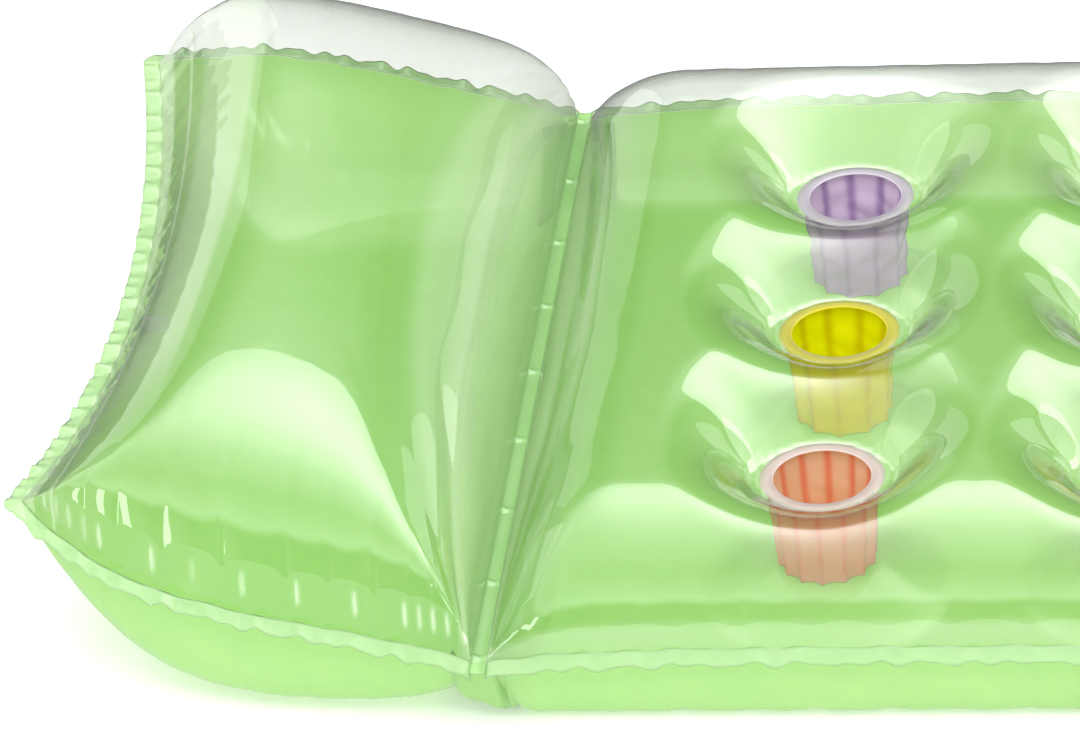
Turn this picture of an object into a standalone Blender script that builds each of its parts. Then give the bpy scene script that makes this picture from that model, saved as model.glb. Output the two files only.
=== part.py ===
"""An inflatable pool mattress: a pillow chamber welded to a main chamber with cup pockets.

Metres. +X runs from the pillow to the foot end, +Y to the far side and +Z up. The floor is
Z = 0 and the origin lies under the middle of the whole mattress. The clear top sheets and
the green bottom sheets are thin films, welded together round the edge and along the fold.
"""

import math

import bmesh
import bpy
from mathutils import Matrix, Vector

# Films and clearances
FILM = 0.0003
GAP = 0.0003
SEAM_MARGIN = 0.012
MERGE_DISTANCE = 0.00002

# Main chamber, measured between the air lines of its seams
POCKETS_ALONG = 6
POCKETS_ACROSS = 3
POCKET_PITCH_X = 0.208
POCKET_PITCH_Y = 0.178
FOLD_TO_POCKET = 0.208
POCKET_TO_SIDE = 0.165
MAIN_SEAM_Z = 0.065
MAIN_CREST_Z = 0.128
SIDE_TUBE_WIDTH = 0.075
FOLD_TUBE_WIDTH = 0.080
FOOT_TUBE_WIDTH = 0.049
BELLY_EDGE_WIDTH = 0.028
SEAM_SETTLE_LENGTH = 0.060
FOOT_CORNER_DRAW = 0.024
FOOT_HOLLOW = 0.010
DIMPLE_REACH = 0.139
CREST_MARGIN = 0.0046
FOOT_TUBE_MARGIN = 0.00116

# Pillow chamber, measured between the air lines of its seams
PILLOW_LENGTH = 0.260
PILLOW_HEAD_HALF_WIDTH = 0.285
HEAD_HOLLOW = 0.028
HEAD_SEAM_Z = 0.118
CORNER_LIFT = 0.024
PILLOW_RISE = 0.100
PILLOW_DROP = 0.130
PILLOW_TUBE_WIDTH = 0.070
PILLOW_BELLY_WIDTH = 0.105
HEAD_WALL_HEIGHT = 0.042

# Fold between the chambers
FOLD_Z = 0.055
FOLD_STRIP_WIDTH = 0.006
FOLD_MARGIN = 0.0015

# Pocket cups
CUP_RIM_Z = 0.085
CUP_HOLE_RADIUS = 0.0318
CUP_FLANGE_RADIUS = 0.0405
CUP_TOP_RADIUS = 0.0370
CUP_FLANGE_THICKNESS = 0.0006
CUP_WALL = 0.0005
CUP_FLOOR_Z = 0.0215
CUP_FLOOR_RADIUS = 0.0330
CUP_FLUTE_DEPTH = 0.0040
CUP_TOP_FLUTE_DEPTH = 0.0012
CUP_FLUTES = 10
CUP_RIM_LAP = 0.0008

# Valves
VALVE_PAD_RADIUS = 0.02112
VALVE_BORE_RADIUS = 0.00425
VALVE_STEM_RADIUS = 0.0062
VALVE_LIP_RADIUS = 0.0086
VALVE_LIP_THICKNESS = 0.0010
VALVE_COLLAR_RADIUS = 0.0140
VALVE_COLLAR_THICKNESS = 0.0008
VALVE_SLEEVE_LENGTH = 0.0060
VALVE_SLEEVE_WALL = 0.0008
VALVE_TRAVEL = 0.0090
VALVE_BEAD_HEIGHT = 0.0012
VALVE_BEAD_WIDTH = 0.0006
VALVE_EAR_WIDTH = 0.0060
VALVE_EAR_LENGTH = 0.0020
STOPPER_RADIUS = 0.0074
STOPPER_THICKNESS = 0.0012
STOPPER_HINGE_REACH = 0.0105
STOPPER_PLUG_DEPTH = 0.0040
STOPPER_PLUG_TOP_RADIUS = 0.0040
STOPPER_PLUG_TIP_RADIUS = 0.0030
FLAP_RADIUS = 0.0050
FLAP_THICKNESS = 0.0005
FLAP_HINGE_REACH = 0.0056
FLAP_TAB_WIDTH = 0.0050
FILM_HOLE_CLEARANCE = 0.0008
CUT_OVERRUN = 0.0020

# Counts and shares of the sizes above
CELL_THIRDS = 3
RING_SEGMENTS = 4 * CELL_THIRDS
VALVE_SEGMENTS = 16
SIDE_LINE_SHARES = (0.0, 0.30, 0.68, 1.0)
FOLD_LINE_SHARES = (0.0, 0.26, 0.60, 1.0)
FOOT_TUBE_SHARES = (0.684, 1.0)
PILLOW_LENGTH_SHARES = (0.0, 0.05, 0.14, 0.28, 0.45, 0.62, 0.77, 0.88, 0.96, 1.0)
PILLOW_WIDTH_SHARES = (-1.0, -0.95, -0.86, -0.72, -0.54, -0.36, -0.16,
                       0.16, 0.36, 0.54, 0.72, 0.86, 0.95, 1.0)
PILLOW_TAPER_POWER = 4.5
CORNER_LIFT_POWER = 6.0
PILLOW_SEAM_POWER = 0.75
PILLOW_ARCH_POWER = 0.40

# Places that follow from the sizes
PITCHES_ALONG = POCKETS_ALONG - 1
FOLD_EDGE = FOLD_STRIP_WIDTH / 2 + GAP
POCKET_TO_VALVE = DIMPLE_REACH + CREST_MARGIN + VALVE_PAD_RADIUS
VALVE_TO_FOOT = VALVE_PAD_RADIUS + FOOT_TUBE_MARGIN + FOOT_TUBE_WIDTH
POCKET_TO_FOOT = POCKET_TO_VALVE + VALVE_TO_FOOT
MAIN_LENGTH = FOLD_TO_POCKET + PITCHES_ALONG * POCKET_PITCH_X + POCKET_TO_FOOT
HALF_WIDTH = (POCKETS_ACROSS - 1) / 2 * POCKET_PITCH_Y + POCKET_TO_SIDE
HEAD_REACH = FOLD_EDGE + FOLD_MARGIN + PILLOW_LENGTH + HEAD_HOLLOW + SEAM_MARGIN
TOTAL_LENGTH = HEAD_REACH + MAIN_LENGTH + SEAM_MARGIN
FOLD_X = HEAD_REACH - TOTAL_LENGTH / 2
FOOT_X = FOLD_X + MAIN_LENGTH
CELLS_END_X = FOOT_X - POCKET_TO_FOOT + POCKET_PITCH_X / 2
VALVE_X = FOOT_X - VALVE_TO_FOOT
SEAM_RISE = GAP / 2 + FILM
BASE_SHEET_Z = CUP_FLOOR_Z - GAP - FILM
VALVE_HOLE_RADIUS = VALVE_LIP_RADIUS - FILM_HOLE_CLEARANCE

COLOURS = {
    "clear_vinyl": ((0.80, 0.88, 0.78, 1.0), 0.08),
    "green_vinyl": ((0.36, 0.72, 0.20, 1.0), 0.12),
    "purple_vinyl": ((0.42, 0.22, 0.55, 1.0), 0.25),
    "yellow_vinyl": ((0.86, 0.70, 0.02, 1.0), 0.25),
    "red_vinyl": ((0.90, 0.18, 0.14, 1.0), 0.25),
    "valve_vinyl": ((0.75, 0.82, 0.72, 1.0), 0.30),
}
POCKET_ROWS = (("near", "red"), ("middle", "yellow"), ("far", "purple"))


def clear_scene():
    for thing in list(bpy.data.objects):
        bpy.data.objects.remove(thing, do_unlink=True)


def make_material(object_name, finish):
    colour, roughness = COLOURS[finish]
    material = bpy.data.materials.new(object_name)
    material.use_nodes = True
    shader = material.node_tree.nodes["Principled BSDF"]
    shader.inputs["Base Color"].default_value = colour
    shader.inputs["Roughness"].default_value = roughness
    shader.inputs["Metallic"].default_value = 0.0
    material.diffuse_color = colour
    return material


def add_object(name, points, faces, finish, smooth=True):
    mesh = bpy.data.meshes.new(name)
    mesh.from_pydata(points, [], faces)
    mesh.update()
    if smooth:
        mesh.shade_smooth()
    thing = bpy.data.objects.new(name, mesh)
    bpy.context.collection.objects.link(thing)
    mesh.materials.append(make_material(name, finish))
    return thing


def merge_points(mesh):
    """Joins the points that meet where a line of the grid runs out."""
    shape = bmesh.new()
    shape.from_mesh(mesh)
    bmesh.ops.remove_doubles(shape, verts=shape.verts, dist=MERGE_DISTANCE)
    shape.to_mesh(mesh)
    shape.free()


def thicken(sheet):
    """Gives an outer surface its film thickness, on the inner side."""
    solid = sheet.modifiers.new("film", "SOLIDIFY")
    solid.thickness = FILM
    solid.offset = -1.0
    solid.use_even_offset = False
    return sheet


def combine(target, tool, operation):
    step = target.modifiers.new(operation.lower(), "BOOLEAN")
    step.operation = operation
    step.object = tool
    tool.hide_render = True
    tool.display_type = "WIRE"
    return target


def quarter_arch(distance, width):
    """0 at an edge, rising steeply to 1 at the given width from it."""
    left = 1 - min(1.0, max(0.0, distance / width))
    return math.sqrt(max(0.0, 1 - left * left))


# Main chamber surfaces
def pocket_centre(column, row):
    x = FOLD_X + FOLD_TO_POCKET + column * POCKET_PITCH_X
    y = (row - (POCKETS_ACROSS - 1) / 2) * POCKET_PITCH_Y
    return x, y


def pocket_centres():
    for column in range(POCKETS_ALONG):
        for row in range(POCKETS_ACROSS):
            x, y = pocket_centre(column, row)
            yield column, row, x, y


def main_seam_z(x):
    """The seam hangs a little lower where it is pinched at the fold."""
    settle = 1 - math.exp(-max(0.0, x - FOLD_X) / SEAM_SETTLE_LENGTH)
    return FOLD_Z + (MAIN_SEAM_Z - FOLD_Z) * settle


def dimple(x, y):
    """How free the top film is from the pockets: 0 at a rim, 1 well away from all."""
    free = 1.0
    for _, _, px, py in pocket_centres():
        away = math.hypot(x - px, y - py) - CUP_FLANGE_RADIUS
        share = min(1.0, max(0.0, away / (DIMPLE_REACH - CUP_FLANGE_RADIUS)))
        free *= math.sin(share * math.pi / 2)
    return free


def main_edges(x, y, side_width, fold_width, foot_width):
    side = quarter_arch(HALF_WIDTH - abs(y), side_width)
    fold = quarter_arch(x - FOLD_X - FOLD_EDGE - FOLD_MARGIN, fold_width)
    foot = quarter_arch(FOOT_X - x, foot_width)
    return side * fold * foot


def main_top_z(x, y):
    seam = main_seam_z(x) + SEAM_RISE
    arch = main_edges(x, y, SIDE_TUBE_WIDTH, FOLD_TUBE_WIDTH, FOOT_TUBE_WIDTH)
    tube = seam + (MAIN_CREST_Z - seam) * arch
    if tube < CUP_RIM_Z:
        return tube
    return CUP_RIM_Z + (tube - CUP_RIM_Z) * dimple(x, y)


def main_bottom_z(x, y):
    seam = main_seam_z(x) - SEAM_RISE
    arch = main_edges(x, y, BELLY_EDGE_WIDTH, BELLY_EDGE_WIDTH, FOOT_TUBE_WIDTH)
    return seam * (1 - arch)


def main_lines_x():
    """Grid lines along X: free edge, fold strip, pocket cells, valve pad, foot tube, seam edge."""
    start = FOLD_X + FOLD_EDGE + FOLD_MARGIN
    first = FOLD_X + FOLD_TO_POCKET - POCKET_PITCH_X / 2
    third = POCKET_PITCH_X / CELL_THIRDS
    pad_end = VALVE_X + VALVE_PAD_RADIUS
    lines = [FOLD_X + FOLD_EDGE]
    lines += [start + (first - start) * share for share in FOLD_LINE_SHARES[:-1]]
    lines += [first + third * step for step in range(POCKETS_ALONG * CELL_THIRDS)]
    lines += [CELLS_END_X, VALVE_X - VALVE_PAD_RADIUS, pad_end]
    lines += [pad_end + (FOOT_X - pad_end) * share for share in FOOT_TUBE_SHARES]
    return lines + [FOOT_X + SEAM_MARGIN]


def main_lines_y():
    """Grid lines along Y: seam edge, side strip, pocket cells, side strip, seam edge."""
    edge = POCKETS_ACROSS * POCKET_PITCH_Y / 2
    third = POCKET_PITCH_Y / CELL_THIRDS
    strip = HALF_WIDTH - edge
    far = [edge + strip * share for share in SIDE_LINE_SHARES] + [HALF_WIDTH + SEAM_MARGIN]
    cells = [step * third - edge for step in range(1, POCKETS_ACROSS * CELL_THIRDS)]
    return [-y for y in reversed(far)] + cells + far


def main_plan(x, y):
    """Draws the foot corners in, and hollows the foot seam between them."""
    share = min(1.0, max(0.0, (x - CELLS_END_X) / (FOOT_X - CELLS_END_X)))
    across = y / HALF_WIDTH
    drawn = FOOT_CORNER_DRAW * share * share * across
    hollow = FOOT_HOLLOW * share * share * (1 - min(1.0, across * across))
    return x - hollow, y - drawn


def main_point(x, y, top):
    inner_x = min(FOOT_X, max(FOLD_X + FOLD_EDGE + FOLD_MARGIN, x))
    inner_y = min(HALF_WIDTH, max(-HALF_WIDTH, y))
    z = main_top_z(inner_x, inner_y) if top else main_bottom_z(inner_x, inner_y)
    plan_x, plan_y = main_plan(x, y)
    return Vector((plan_x, plan_y, z))


def grid_faces(columns, rows, skip=()):
    """Quads of a grid whose vertex (i, j) is number i * rows + j, facing +Z."""
    faces = []
    for i in range(columns - 1):
        for j in range(rows - 1):
            if (i, j) not in skip:
                a = i * rows + j
                faces.append((a, a + rows, a + rows + 1, a + 1))
    return faces


def cell_border(i, j, rows):
    """The numbers of a pocket cell's border vertices, anticlockwise from its +X side."""
    n = CELL_THIRDS
    steps = [(n, k) for k in range(1, n + 1)]
    steps += [(n - k, n) for k in range(1, n + 1)]
    steps += [(0, n - k) for k in range(1, n + 1)]
    steps += [(k, 0) for k in range(1, n + 1)]
    steps = steps[-1:] + steps[:-1]
    return [(i + a) * rows + j + b for a, b in steps]


def ring_points(x, y, z, radius):
    """A ring whose points face those of a cell's border."""
    points = []
    for k in range(RING_SEGMENTS):
        angle = math.radians(-45) + k * math.tau / RING_SEGMENTS
        points.append(Vector((x + radius * math.cos(angle), y + radius * math.sin(angle), z)))
    return points


def drop_loose(points, faces):
    used = sorted({number for face in faces for number in face})
    new = {old: count for count, old in enumerate(used)}
    return [points[old] for old in used], [tuple(new[n] for n in face) for face in faces]


def top_panel_lines(column):
    """The top film's grid lines along X over one column of pockets, and its first cell line."""
    lines = main_lines_x()
    first = len(FOLD_LINE_SHARES) + column * CELL_THIRDS
    last = first + CELL_THIRDS
    if column < POCKETS_ALONG - 1:
        lines = lines[:last] + [lines[last] - GAP / 2]
    if column > 0:
        lines = [lines[first] + GAP / 2] + lines[first + 1:]
        first = 0
    return lines, first


def main_top_panel(column):
    """The top film over one column of pockets, from one side seam to the other."""
    xs, first_i = top_panel_lines(column)
    ys = main_lines_y()
    rows = len(ys)
    points = [main_point(x, y, True) for x in xs for y in ys]
    lap_radii = (CUP_FLANGE_RADIUS + CUP_RIM_LAP, CUP_HOLE_RADIUS + CUP_RIM_LAP)
    skip, faces = set(), []
    for row in range(POCKETS_ACROSS):
        x, y = pocket_centre(column, row)
        j = len(SIDE_LINE_SHARES) + row * CELL_THIRDS
        skip |= {(first_i + a, j + b) for a in range(CELL_THIRDS) for b in range(CELL_THIRDS)}
        rings = [cell_border(first_i, j, rows)]
        for radius in lap_radii:
            rings.append(range(len(points), len(points) + RING_SEGMENTS))
            points += ring_points(x, y, CUP_RIM_Z, radius)
        for outer, inner in zip(rings, rings[1:]):
            for k in range(RING_SEGMENTS):
                n = (k + 1) % RING_SEGMENTS
                faces.append((outer[k], outer[n], inner[n], inner[k]))
    faces += grid_faces(len(xs), rows, skip)
    name = f"main_top_panel_{column + 1}"
    return thicken(add_object(name, *drop_loose(points, faces), "clear_vinyl"))


def main_top_panels():
    """One film on the real product, modelled as panels so that each pocket stays open."""
    return [main_top_panel(column) for column in range(POCKETS_ALONG)]


def main_bottom_sheet():
    xs, ys = main_lines_x(), main_lines_y()
    rows = len(ys)
    points = [main_point(x, y, False) for x in xs for y in ys]
    for column in range(POCKETS_ALONG):
        for row in range(POCKETS_ACROSS):
            i = len(FOLD_LINE_SHARES) + column * CELL_THIRDS
            j = len(SIDE_LINE_SHARES) + row * CELL_THIRDS
            for a in (1, CELL_THIRDS - 1):
                for b in (1, CELL_THIRDS - 1):
                    points[(i + a) * rows + j + b].z = BASE_SHEET_Z
    faces = [tuple(reversed(face)) for face in grid_faces(len(xs), rows)]
    return thicken(add_object("main_bottom_sheet", points, faces, "green_vinyl"))


# Pillow chamber surfaces
def pillow_plan(length, width):
    """The place at a share of the length, from fold to head, and of the half width."""
    reach = PILLOW_LENGTH + HEAD_HOLLOW * width * width
    taper = (HALF_WIDTH - PILLOW_HEAD_HALF_WIDTH) * length ** PILLOW_TAPER_POWER
    x = FOLD_X - FOLD_EDGE - FOLD_MARGIN - length * reach
    return x, width * (HALF_WIDTH - taper)


def pillow_seam_z(length, width):
    rise = (HEAD_SEAM_Z - FOLD_Z) * length ** PILLOW_SEAM_POWER
    lift = CORNER_LIFT * length ** CORNER_LIFT_POWER * width * width
    return FOLD_Z + rise + lift


def pillow_arch(length, width, edge_width):
    along = (4 * length * (1 - length)) ** PILLOW_ARCH_POWER
    return along * quarter_arch((1 - abs(width)) * HALF_WIDTH, edge_width)


def pillow_point(length, width, top):
    inner_length = min(1.0, max(0.0, length))
    inner_width = min(1.0, max(-1.0, width))
    x, y = pillow_plan(inner_length, inner_width)
    seam = pillow_seam_z(inner_length, inner_width)
    if top:
        arch = pillow_arch(inner_length, inner_width, PILLOW_TUBE_WIDTH)
        z = seam + SEAM_RISE + PILLOW_RISE * arch
    else:
        arch = pillow_arch(inner_length, inner_width, PILLOW_BELLY_WIDTH)
        z = max(0.0, seam - SEAM_RISE - PILLOW_DROP * arch)
    return Vector((x, y, z))


def head_wall_foot():
    """The lower edge of the upright wall that the belly film makes under the head seam."""
    foot = []
    for width in PILLOW_WIDTH_SHARES:
        point = pillow_point(1.0, width, False)
        edge = (1 - abs(width)) * HALF_WIDTH
        point.z -= HEAD_WALL_HEIGHT * quarter_arch(edge, PILLOW_BELLY_WIDTH)
        foot.append(point)
    return foot


def pillow_lines(top):
    """Lines of points across the pillow, from its free edge at the fold to its head edge."""
    lines = [[pillow_point(length, width, top) for width in PILLOW_WIDTH_SHARES]
             for length in PILLOW_LENGTH_SHARES]
    if not top:
        lines.insert(-1, head_wall_foot())
    fold = [Vector((FOLD_X - FOLD_EDGE, point.y, point.z)) for point in lines[0]]
    head = [point - Vector((SEAM_MARGIN, 0, 0)) for point in lines[-1]]
    side = Vector((0, SEAM_MARGIN, 0))
    return [[line[0] - side] + line + [line[-1] + side] for line in [fold] + lines + [head]]


def pillow_sheet(name, top, finish):
    lines = pillow_lines(top)
    points = [point for line in lines for point in line]
    faces = grid_faces(len(lines), len(lines[0]))
    if top:
        faces = [tuple(reversed(face)) for face in faces]
    sheet = add_object(name, points, faces, finish)
    merge_points(sheet.data)
    return thicken(sheet)


def fold_weld_strip():
    """The flat band where both films are welded together between the chambers."""
    half = Vector((FOLD_STRIP_WIDTH / 2, HALF_WIDTH + SEAM_MARGIN, SEAM_RISE))
    centre = Vector((FOLD_X, 0, FOLD_Z))
    return add_box("fold_weld_strip", centre - half, centre + half, "green_vinyl")


def add_box(name, low, high, finish):
    points = [(x, y, z) for x in (low[0], high[0]) for y in (low[1], high[1])
              for z in (low[2], high[2])]
    faces = [(0, 1, 3, 2), (4, 6, 7, 5), (0, 4, 5, 1), (2, 3, 7, 6), (0, 2, 6, 4), (1, 5, 7, 3)]
    return add_object(name, points, faces, finish, smooth=False)


# Pocket cups
def cup_ring(radius, z, flute=0):
    count = 2 * CUP_FLUTES
    points = []
    for k in range(count):
        reach = radius - (flute if k % 2 else 0)
        angle = k * math.tau / count
        points.append(Vector((reach * math.cos(angle), reach * math.sin(angle), z)))
    return points


def closed_rings(rings, start, end):
    """Points and faces of a body skinned over rings, closed at each end by a centre point."""
    points = [point for ring in rings for point in ring] + [start, end]
    count = len(rings[0])
    faces = []
    for number in range(len(rings) - 1):
        a, b = number * count, (number + 1) * count
        for k in range(count):
            n = (k + 1) % count
            faces.append((a + k, b + k, b + n, a + n))
    first, last = len(points) - 2, len(points) - 1
    tail = (len(rings) - 1) * count
    for k in range(count):
        n = (k + 1) % count
        faces.append((first, k, n))
        faces.append((last, tail + n, tail + k))
    return points, faces


def pocket_cup(name, x, y, finish):
    """A fluted cup hung from its rim ring, which lies under the top film."""
    top = CUP_RIM_Z - FILM - GAP
    under = top - CUP_FLANGE_THICKNESS
    floor = CUP_FLOOR_Z + CUP_WALL
    rings = [
        cup_ring(CUP_FLOOR_RADIUS, floor, CUP_FLUTE_DEPTH),
        cup_ring(CUP_TOP_RADIUS, under, CUP_TOP_FLUTE_DEPTH),
        cup_ring(CUP_HOLE_RADIUS, under),
        cup_ring(CUP_HOLE_RADIUS, top),
        cup_ring(CUP_FLANGE_RADIUS, top),
        cup_ring(CUP_FLANGE_RADIUS, under),
        cup_ring(CUP_TOP_RADIUS + CUP_WALL, under, CUP_TOP_FLUTE_DEPTH),
        cup_ring(CUP_FLOOR_RADIUS + CUP_WALL, CUP_FLOOR_Z, CUP_FLUTE_DEPTH),
    ]
    start, end = Vector((0, 0, floor)), Vector((0, 0, CUP_FLOOR_Z))
    points, faces = closed_rings(rings, start, end)
    cup = add_object(name, points, faces, finish)
    cup.location = (x, y, 0)
    return cup


def pocket_cups():
    for column, row, x, y in pocket_centres():
        place, colour = POCKET_ROWS[row]
        pocket_cup(f"pocket_cup_{place}_{column + 1}_{colour}", x, y, f"{colour}_vinyl")


# Valves, built about their own axis: +Z leaves the mattress and Z = 0 is the film's outside
def turned(name, profile, finish):
    """A turned body. The profile runs from the axis at the top to the axis below, or round."""
    count = VALVE_SEGMENTS
    hollow = profile[0][0] > 0
    rings = []
    for radius, z in profile:
        if radius > 0:
            rings.append([Vector((radius * math.cos(k * math.tau / count),
                                  radius * math.sin(k * math.tau / count), z))
                          for k in range(count)])
    if not hollow:
        start = Vector((0, 0, profile[0][1]))
        end = Vector((0, 0, profile[-1][1]))
        points, faces = closed_rings(rings, start, end)
        return add_object(name, points, faces, finish, smooth=False)
    points = [point for ring in rings for point in ring]
    faces = []
    for number in range(len(rings)):
        a, b = number * count, (number + 1) % len(rings) * count
        for k in range(count):
            n = (k + 1) % count
            faces.append((a + k, b + k, b + n, a + n))
    return add_object(name, points, faces, finish, smooth=False)


def valve_levels():
    """Heights along the valve's axis, from the stopper's top to the stem's inner end."""
    lip_under = GAP
    lip_top = lip_under + VALVE_LIP_THICKNESS
    cap_under = lip_top + GAP
    cap_top = cap_under + STOPPER_THICKNESS
    collar_top = -FILM - GAP
    collar_under = collar_top - VALVE_COLLAR_THICKNESS
    sleeve_end = collar_under - VALVE_SLEEVE_LENGTH
    bead_top = sleeve_end - VALVE_TRAVEL - GAP
    stem_end = bead_top - VALVE_BEAD_HEIGHT
    return {
        "lip_under": lip_under, "lip_top": lip_top, "cap_under": cap_under,
        "cap_top": cap_top, "collar_top": collar_top, "collar_under": collar_under,
        "sleeve_end": sleeve_end, "bead_top": bead_top, "stem_end": stem_end,
    }


def valve_collar(name, level):
    bore = VALVE_STEM_RADIUS + GAP
    sleeve = bore + VALVE_SLEEVE_WALL
    return turned(name, [
        (bore, level["collar_top"]), (VALVE_COLLAR_RADIUS, level["collar_top"]),
        (VALVE_COLLAR_RADIUS, level["collar_under"]), (sleeve, level["collar_under"]),
        (sleeve, level["sleeve_end"]), (bore, level["sleeve_end"]),
    ], "valve_vinyl")


def valve_stem(name, level):
    bead = VALVE_STEM_RADIUS + VALVE_BEAD_WIDTH
    stem = turned(name, [
        (VALVE_BORE_RADIUS, level["lip_top"]), (VALVE_LIP_RADIUS, level["lip_top"]),
        (VALVE_LIP_RADIUS, level["lip_under"]), (VALVE_STEM_RADIUS, level["lip_under"]),
        (VALVE_STEM_RADIUS, level["bead_top"]), (bead, level["bead_top"]),
        (bead, level["stem_end"]), (VALVE_BORE_RADIUS, level["stem_end"]),
    ], "valve_vinyl")
    hinge = STOPPER_HINGE_REACH + GAP / 2
    half = VALVE_EAR_WIDTH / 2
    root = (VALVE_LIP_RADIUS + VALVE_BORE_RADIUS) / 2
    tongue = add_box(name + "_tongue", (-half, -hinge - VALVE_EAR_LENGTH, level["lip_under"]),
                     (half, -root, level["lip_top"]), "valve_vinyl")
    ear = add_box(name + "_ear", (-half, -hinge - VALVE_EAR_LENGTH, level["lip_under"]),
                  (half, -hinge, level["cap_top"]), "valve_vinyl")
    combine(stem, tongue, "UNION")
    combine(stem, ear, "UNION")
    return stem, (tongue, ear)


def valve_stopper(name, level):
    """A cap with a tapered plug, and a strap that ends at its hinge line."""
    tip = level["lip_top"] - STOPPER_PLUG_DEPTH
    stopper = turned(name, [
        (0, level["cap_top"]), (STOPPER_RADIUS, level["cap_top"]),
        (STOPPER_RADIUS, level["cap_under"]), (STOPPER_PLUG_TOP_RADIUS, level["cap_under"]),
        (STOPPER_PLUG_TOP_RADIUS, level["lip_top"]), (STOPPER_PLUG_TIP_RADIUS, tip), (0, tip),
    ], "valve_vinyl")
    half = VALVE_EAR_WIDTH / 2
    root = (STOPPER_RADIUS + STOPPER_PLUG_TOP_RADIUS) / 2
    strap = add_box(name + "_strap", (-half, -STOPPER_HINGE_REACH + GAP / 2, level["cap_under"]),
                    (half, -root, level["cap_top"]), "valve_vinyl")
    combine(stopper, strap, "UNION")
    return stopper, (strap,)


def valve_flap(name, level):
    """The thin flap that air pressure shuts against the stem's inner end."""
    top = level["stem_end"] - GAP
    under = top - FLAP_THICKNESS
    flap = turned(name, [
        (0, top), (FLAP_RADIUS, top), (FLAP_RADIUS, under), (0, under),
    ], "valve_vinyl")
    half = FLAP_TAB_WIDTH / 2
    root = FLAP_RADIUS * math.cos(math.pi / 4)
    tab = add_box(name + "_tab", (-half, root / 2, under), (half, FLAP_HINGE_REACH, top),
                  "valve_vinyl")
    combine(flap, tab, "UNION")
    return flap, (tab,)


def add_empty(name, place):
    empty = bpy.data.objects.new(name, None)
    empty.matrix_world = place
    bpy.context.collection.objects.link(empty)
    return empty


def film_hole(sheet, place):
    """Cuts the round hole that a valve's stem passes through."""
    half = FILM + CUT_OVERRUN
    cutter = turned(sheet.name + "_hole", [
        (0, half), (VALVE_HOLE_RADIUS, half), (VALVE_HOLE_RADIUS, -half), (0, -half),
    ], "valve_vinyl")
    cutter.matrix_world = place
    combine(sheet, cutter, "DIFFERENCE")


def build_valve(prefix, sheet, place):
    film_hole(sheet, place)
    level = valve_levels()
    hinge = place @ Matrix.Translation((0, -STOPPER_HINGE_REACH, level["cap_top"]))
    flap_top = level["stem_end"] - GAP
    flap_line = place @ Matrix.Translation((0, FLAP_HINGE_REACH, flap_top))
    mounted = [
        ((valve_collar(prefix + "_valve_collar", level), ()), place),
        (valve_stem(prefix + "_valve_stem", level), place),
        (valve_stopper(prefix + "_valve_stopper", level), hinge),
        (valve_flap(prefix + "_valve_flap", level), flap_line),
    ]
    for (piece, tools), axis_place in mounted:
        pivot = add_empty(piece.name + "_axis", axis_place)
        for thing in (piece, *tools):
            thing.parent = pivot
            thing.matrix_parent_inverse = axis_place.inverted()
            thing.matrix_basis = place


def main_valve_place():
    """On the level pad between the last dimples and the foot tube."""
    return Matrix.Translation((VALVE_X, 0, MAIN_CREST_Z))


def pillow_valve_place():
    """On the upright head wall of the pillow, under the head seam, facing -X."""
    width = PILLOW_WIDTH_SHARES[len(PILLOW_WIDTH_SHARES) // 2]
    x, _ = pillow_plan(1.0, width)
    z = pillow_seam_z(1.0, width) - SEAM_RISE - HEAD_WALL_HEIGHT / 2
    return Matrix.Translation((x, 0, z)) @ Matrix.Rotation(math.radians(-90), 4, "Y")


def build():
    clear_scene()
    top_panels = main_top_panels()
    main_bottom_sheet()
    pillow_sheet("pillow_top_sheet", True, "clear_vinyl")
    pillow_bottom = pillow_sheet("pillow_bottom_sheet", False, "green_vinyl")
    fold_weld_strip()
    pocket_cups()
    build_valve("main", top_panels[-1], main_valve_place())
    build_valve("pillow", pillow_bottom, pillow_valve_place())


build()
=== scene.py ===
"""The looks of the inflatable pool mattress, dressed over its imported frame.

Metres. +X runs from the pillow to the foot end, +Y to the far side and +Z up. The films are
drawn as fine inflated surfaces with puckers along their welds, the cups as fluted shells.
"""

import math

import bpy
import numpy as np
from mathutils import Matrix, Vector


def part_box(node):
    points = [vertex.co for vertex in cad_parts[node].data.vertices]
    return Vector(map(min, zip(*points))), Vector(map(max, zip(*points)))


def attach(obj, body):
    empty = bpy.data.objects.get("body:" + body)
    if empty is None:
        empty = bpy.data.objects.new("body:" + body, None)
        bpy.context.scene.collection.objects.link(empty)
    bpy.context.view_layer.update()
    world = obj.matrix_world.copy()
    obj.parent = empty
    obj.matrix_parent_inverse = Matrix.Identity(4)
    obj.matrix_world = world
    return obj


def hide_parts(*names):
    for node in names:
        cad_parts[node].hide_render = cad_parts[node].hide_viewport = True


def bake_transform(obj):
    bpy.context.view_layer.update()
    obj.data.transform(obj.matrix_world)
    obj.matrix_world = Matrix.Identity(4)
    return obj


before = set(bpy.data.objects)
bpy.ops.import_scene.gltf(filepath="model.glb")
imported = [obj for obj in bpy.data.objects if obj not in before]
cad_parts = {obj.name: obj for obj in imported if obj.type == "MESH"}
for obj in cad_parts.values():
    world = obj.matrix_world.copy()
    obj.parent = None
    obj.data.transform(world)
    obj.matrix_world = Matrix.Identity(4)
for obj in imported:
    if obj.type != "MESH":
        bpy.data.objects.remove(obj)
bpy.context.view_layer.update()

# Sizes of the welds and films
SEAM_MARGIN = 0.012
FILM = 0.0003
GAP = 0.0003
SEAM_RISE = GAP / 2 + FILM
RIBBON_THICKNESS = 0.0006
RIBBON_STEP = 0.0022
RIBBON_CORNER = 12
# How far the pillow's seam margin turns back at the head corners, in radians
HEAD_CORNER_TURN = 0.35

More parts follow.
